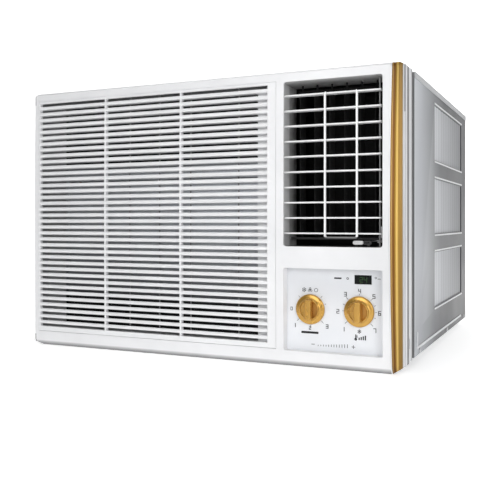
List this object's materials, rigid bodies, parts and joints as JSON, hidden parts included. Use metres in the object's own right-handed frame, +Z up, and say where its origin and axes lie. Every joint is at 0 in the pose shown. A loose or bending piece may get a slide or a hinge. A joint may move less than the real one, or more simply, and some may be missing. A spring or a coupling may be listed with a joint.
{
  "type": "window air conditioner",
  "caption": "Boxy room air conditioner with a louvred intake grille, a bladed side outlet, two round controls and a vented steel cabinet.",
  "frame": {"origin": "centre of the footprint, on the surface the unit stands on", "axes": "+X to the right across the front, the front faces -Y, +Z up"},
  "size_m": [0.64, 0.574, 0.43],
  "materials": {
    "white_plastic": "fine satin moulding",
    "gold": "satin gold film",
    "black_plastic": "matt",
    "filter_net": "fine woven net",
    "grey_plastic": "matt",
    "steel": "plated",
    "panel_plastic": "fine satin",
    "display": "smoked window",
    "ivory_plastic": "plain",
    "board": "lacquered",
    "can": "bright",
    "white_paint": "satin enamel",
    "casing_paint": "light grey enamel",
    "pan_paint": "galvanised and painted",
    "rubber": "matt",
    "fin": "pressed foil",
    "copper": "drawn copper",
    "black_paint": "black enamel",
    "foam": "expanded foam"
  },
  "bodies": {
    "chassis": {"front_panel": "white_plastic", "gold_trim": "gold", "outlet_duct": "grey_plastic", "control_plate": "panel_plastic", "display_window": "display", "rotary_switch": "ivory_plastic", "thermostat": "steel", "control_box": "steel", "circuit_board": "board", "run_capacitor": "can", "front_collar": "white_paint", "side_left": "casing_paint", "side_right": "casing_paint", "top_cover": "casing_paint", "rear_grille": "casing_paint", "base_pan": "pan_paint", "feet": "rubber", "cabinet_screws": "steel", "evaporator": "fin", "evaporator_tubes": "copper", "condenser": "fin", "condenser_tubes": "copper", "compressor": "black_paint", "compressor_mounts": "rubber", "refrigerant_pipes": "copper", "capillary": "copper", "bulkhead": "pan_paint", "blower_scroll": "foam", "fan_motor": "black_paint", "fan_shroud": "foam"},
    "grille": {"inlet_grille": "white_plastic", "filter_frame": "black_plastic", "filter_mesh": "filter_net"},
    "mode_control": {"mode_knob": "gold", "mode_spindle": "steel"},
    "temp_control": {"temp_knob": "gold", "temp_spindle": "steel"},
    "rotor": {"motor_shaft": "steel", "blower_wheel": "black_plastic", "condenser_fan": "black_plastic"},
    "vent": {"vent_lever": "white_plastic", "vent_rod": "steel"},
    "blade_gang": {"blade_link": "white_plastic"},
    "vane_gang": {"vane_link": "black_plastic"},
    "blade_1_body": {"blade_1": "white_plastic"},
    "blade_2_body": {"blade_2": "white_plastic"},
    "blade_3_body": {"blade_3": "white_plastic"},
    "blade_4_body": {"blade_4": "white_plastic"},
    "blade_5_body": {"blade_5": "white_plastic"},
    "blade_6_body": {"blade_6": "white_plastic"},
    "blade_7_body": {"blade_7": "white_plastic"},
    "blade_8_body": {"blade_8": "white_plastic"},
    "blade_9_body": {"blade_9": "white_plastic"},
    "blade_10_body": {"blade_10": "white_plastic"},
    "vane_1_body": {"vane_1": "black_plastic"},
    "vane_2_body": {"vane_2": "black_plastic"},
    "vane_3_body": {"vane_3": "black_plastic"},
    "vane_4_body": {"vane_4": "black_plastic"},
    "vane_5_body": {"vane_5": "black_plastic"},
    "vane_6_body": {"vane_6": "black_plastic"}
  },
  "joints": [
    {"name": "grille_hinge", "type": "hinge", "parent": "chassis", "child": "grille", "pos_m": [-0.09, -0.28227, 0.415], "axis": [-1, 0, 0], "range_deg": [0, 50]},
    {"name": "mode_turn", "type": "hinge", "parent": "chassis", "child": "mode_control", "pos_m": [0.1784, -0.271, 0.0827], "axis": [0, 1, 0], "range_deg": [-135, 135]},
    {"name": "temp_turn", "type": "hinge", "parent": "chassis", "child": "temp_control", "pos_m": [0.2517, -0.271, 0.0827], "axis": [0, 1, 0], "range_deg": [-150, 150]},
    {"name": "rotor_spin", "type": "hinge", "parent": "chassis", "child": "rotor", "pos_m": [-0.07, 0, 0.222], "axis": [0, 1, 0], "continuous": true},
    {"name": "vent_slide", "type": "slide", "parent": "chassis", "child": "vent", "axis": [1, 0, 0], "range_m": [0, 0.011]},
    {"name": "blade_1_tilt", "type": "hinge", "parent": "chassis", "child": "blade_1_body", "pos_m": [0.211, -0.271, 0.1935], "axis": [1, 0, 0], "range_deg": [-30, 30]},
    {"name": "blade_2_tilt", "type": "hinge", "parent": "chassis", "child": "blade_2_body", "pos_m": [0.211, -0.271, 0.21597], "axis": [1, 0, 0], "range_deg": [-30, 30]},
    {"name": "blade_3_tilt", "type": "hinge", "parent": "chassis", "child": "blade_3_body", "pos_m": [0.211, -0.271, 0.23844], "axis": [1, 0, 0], "range_deg": [-30, 30]},
    {"name": "blade_4_tilt", "type": "hinge", "parent": "chassis", "child": "blade_4_body", "pos_m": [0.211, -0.271, 0.26091], "axis": [1, 0, 0], "range_deg": [-30, 30]},
    {"name": "blade_5_tilt", "type": "hinge", "parent": "chassis", "child": "blade_5_body", "pos_m": [0.211, -0.271, 0.28338], "axis": [1, 0, 0], "range_deg": [-30, 30]},
    {"name": "blade_6_tilt", "type": "hinge", "parent": "chassis", "child": "blade_6_body", "pos_m": [0.211, -0.271, 0.30585], "axis": [1, 0, 0], "range_deg": [-30, 30]},
    {"name": "blade_7_tilt", "type": "hinge", "parent": "chassis", "child": "blade_7_body", "pos_m": [0.211, -0.271, 0.32832], "axis": [1, 0, 0], "range_deg": [-30, 30]},
    {"name": "blade_8_tilt", "type": "hinge", "parent": "chassis", "child": "blade_8_body", "pos_m": [0.211, -0.271, 0.35079], "axis": [1, 0, 0], "range_deg": [-30, 30]},
    {"name": "blade_9_tilt", "type": "hinge", "parent": "chassis", "child": "blade_9_body", "pos_m": [0.211, -0.271, 0.37326], "axis": [1, 0, 0], "range_deg": [-30, 30]},
    {"name": "blade_10_tilt", "type": "hinge", "parent": "chassis", "child": "blade_10_body", "pos_m": [0.211, -0.271, 0.39573], "axis": [1, 0, 0], "range_deg": [-30, 30]},
    {"name": "blade_link_pivot", "type": "hinge", "parent": "blade_1_body", "child": "blade_gang", "pos_m": [0.2263, -0.2775, 0.1935], "axis": [1, 0, 0], "range_deg": [-30, 30]},
    {"name": "vane_1_swing", "type": "hinge", "parent": "chassis", "child": "vane_1_body", "pos_m": [0.156, -0.243, 0.3], "axis": [0, 0, 1], "range_deg": [-32, 32]},
    {"name": "vane_2_swing", "type": "hinge", "parent": "chassis", "child": "vane_2_body", "pos_m": [0.179, -0.243, 0.3], "axis": [0, 0, 1], "range_deg": [-32, 32]},
    {"name": "vane_3_swing", "type": "hinge", "parent": "chassis", "child": "vane_3_body", "pos_m": [0.202, -0.243, 0.3], "axis": [0, 0, 1], "range_deg": [-32, 32]},
    {"name": "vane_4_swing", "type": "hinge", "parent": "chassis", "child": "vane_4_body", "pos_m": [0.225, -0.243, 0.3], "axis": [0, 0, 1], "range_deg": [-32, 32]},
    {"name": "vane_5_swing", "type": "hinge", "parent": "chassis", "child": "vane_5_body", "pos_m": [0.248, -0.243, 0.3], "axis": [0, 0, 1], "range_deg": [-32, 32]},
    {"name": "vane_6_swing", "type": "hinge", "parent": "chassis", "child": "vane_6_body", "pos_m": [0.271, -0.243, 0.3], "axis": [0, 0, 1], "range_deg": [-32, 32]},
    {"name": "vane_link_pivot", "type": "hinge", "parent": "vane_1_body", "child": "vane_gang", "pos_m": [0.156, -0.234, 0.407], "axis": [0, 0, 1], "range_deg": [-32, 32]}
  ],
  "couplings": [
    {"joint": "blade_2_tilt", "follows": "blade_1_tilt", "ratio": 1},
    {"joint": "blade_3_tilt", "follows": "blade_1_tilt", "ratio": 1},
    {"joint": "blade_4_tilt", "follows": "blade_1_tilt", "ratio": 1},
    {"joint": "blade_5_tilt", "follows": "blade_1_tilt", "ratio": 1},
    {"joint": "blade_6_tilt", "follows": "blade_1_tilt", "ratio": 1},
    {"joint": "blade_7_tilt", "follows": "blade_1_tilt", "ratio": 1},
    {"joint": "blade_8_tilt", "follows": "blade_1_tilt", "ratio": 1},
    {"joint": "blade_9_tilt", "follows": "blade_1_tilt", "ratio": 1},
    {"joint": "blade_10_tilt", "follows": "blade_1_tilt", "ratio": 1},
    {"joint": "blade_link_pivot", "follows": "blade_1_tilt", "ratio": -1},
    {"joint": "vane_2_swing", "follows": "vane_1_swing", "ratio": 1},
    {"joint": "vane_3_swing", "follows": "vane_1_swing", "ratio": 1},
    {"joint": "vane_4_swing", "follows": "vane_1_swing", "ratio": 1},
    {"joint": "vane_5_swing", "follows": "vane_1_swing", "ratio": 1},
    {"joint": "vane_6_swing", "follows": "vane_1_swing", "ratio": 1},
    {"joint": "vane_link_pivot", "follows": "vane_1_swing", "ratio": -1}
  ]
}
